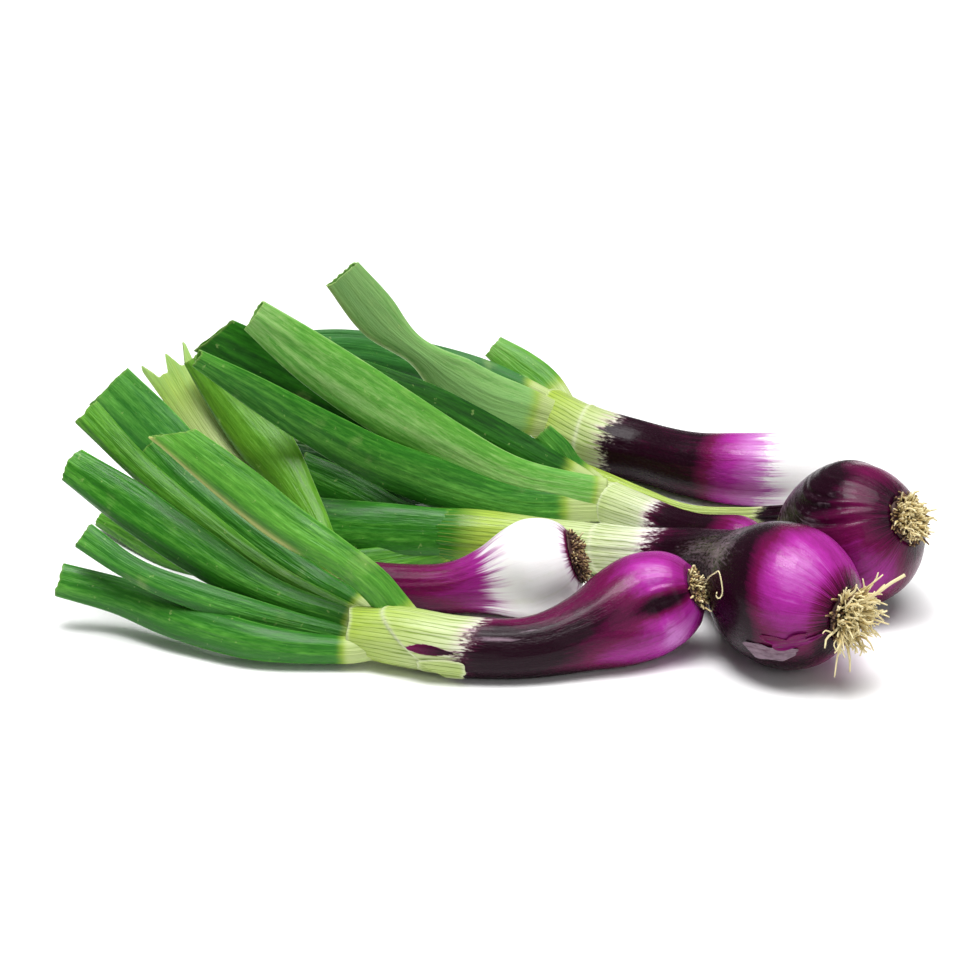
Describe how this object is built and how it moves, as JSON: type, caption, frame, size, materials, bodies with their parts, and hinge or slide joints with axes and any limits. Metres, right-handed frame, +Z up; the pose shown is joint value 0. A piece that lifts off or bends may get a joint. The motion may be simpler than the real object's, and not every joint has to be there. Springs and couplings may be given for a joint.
{
  "type": "spring onion bunch",
  "caption": "Loose bunch of red spring onions lying down, with round and slim bulbs, root tufts, pale sheaths and cut hollow leaves fanned upwards.",
  "frame": {"origin": "on the table surface, under the middle of the bunch's bounding box", "axes": "+X from the leaf tips towards the bulbs, +Y away from the viewer, +Z up"},
  "size_m": [0.2831, 0.2099, 0.0892],
  "materials": {
    "purple_skin": "thin glossy onion skin, magenta to near-black purple, pale green above the neck",
    "white_skin": "thin glossy onion skin, white streaked with magenta, pale green above the neck",
    "leaf": "waxy green leaf with fine lengthwise veins",
    "roots": "dry straw-coloured roots"
  },
  "bodies": {
    "root": {"front_onion_leaf_1": "leaf", "front_onion_leaf_2": "leaf", "front_onion_leaf_3": "leaf", "front_onion_leaf_4": "leaf", "front_onion_leaf_5": "leaf", "front_onion_leaf_6": "leaf", "front_onion_bulb": "purple_skin", "front_onion_roots": "roots", "white_onion_leaf_1": "leaf", "white_onion_leaf_2": "leaf", "white_onion_leaf_3": "leaf", "white_onion_bulb": "white_skin", "white_onion_roots": "roots", "big_onion_leaf_1": "leaf", "big_onion_leaf_2": "leaf", "big_onion_leaf_3": "leaf", "big_onion_bulb": "purple_skin", "big_onion_roots": "roots", "right_onion_leaf_1": "leaf", "right_onion_leaf_2": "leaf", "right_onion_bulb": "purple_skin", "right_onion_roots": "roots", "slim_onion_leaf_1": "leaf", "slim_onion_leaf_2": "leaf", "slim_onion_leaf_3": "leaf", "slim_onion_leaf_4": "leaf", "slim_onion_bulb": "purple_skin", "slim_onion_roots": "roots", "back_onion_leaf_1": "leaf", "back_onion_leaf_2": "leaf", "back_onion_leaf_3": "leaf", "back_onion_bulb": "white_skin", "back_onion_roots": "roots"}
  },
  "joints": []
}
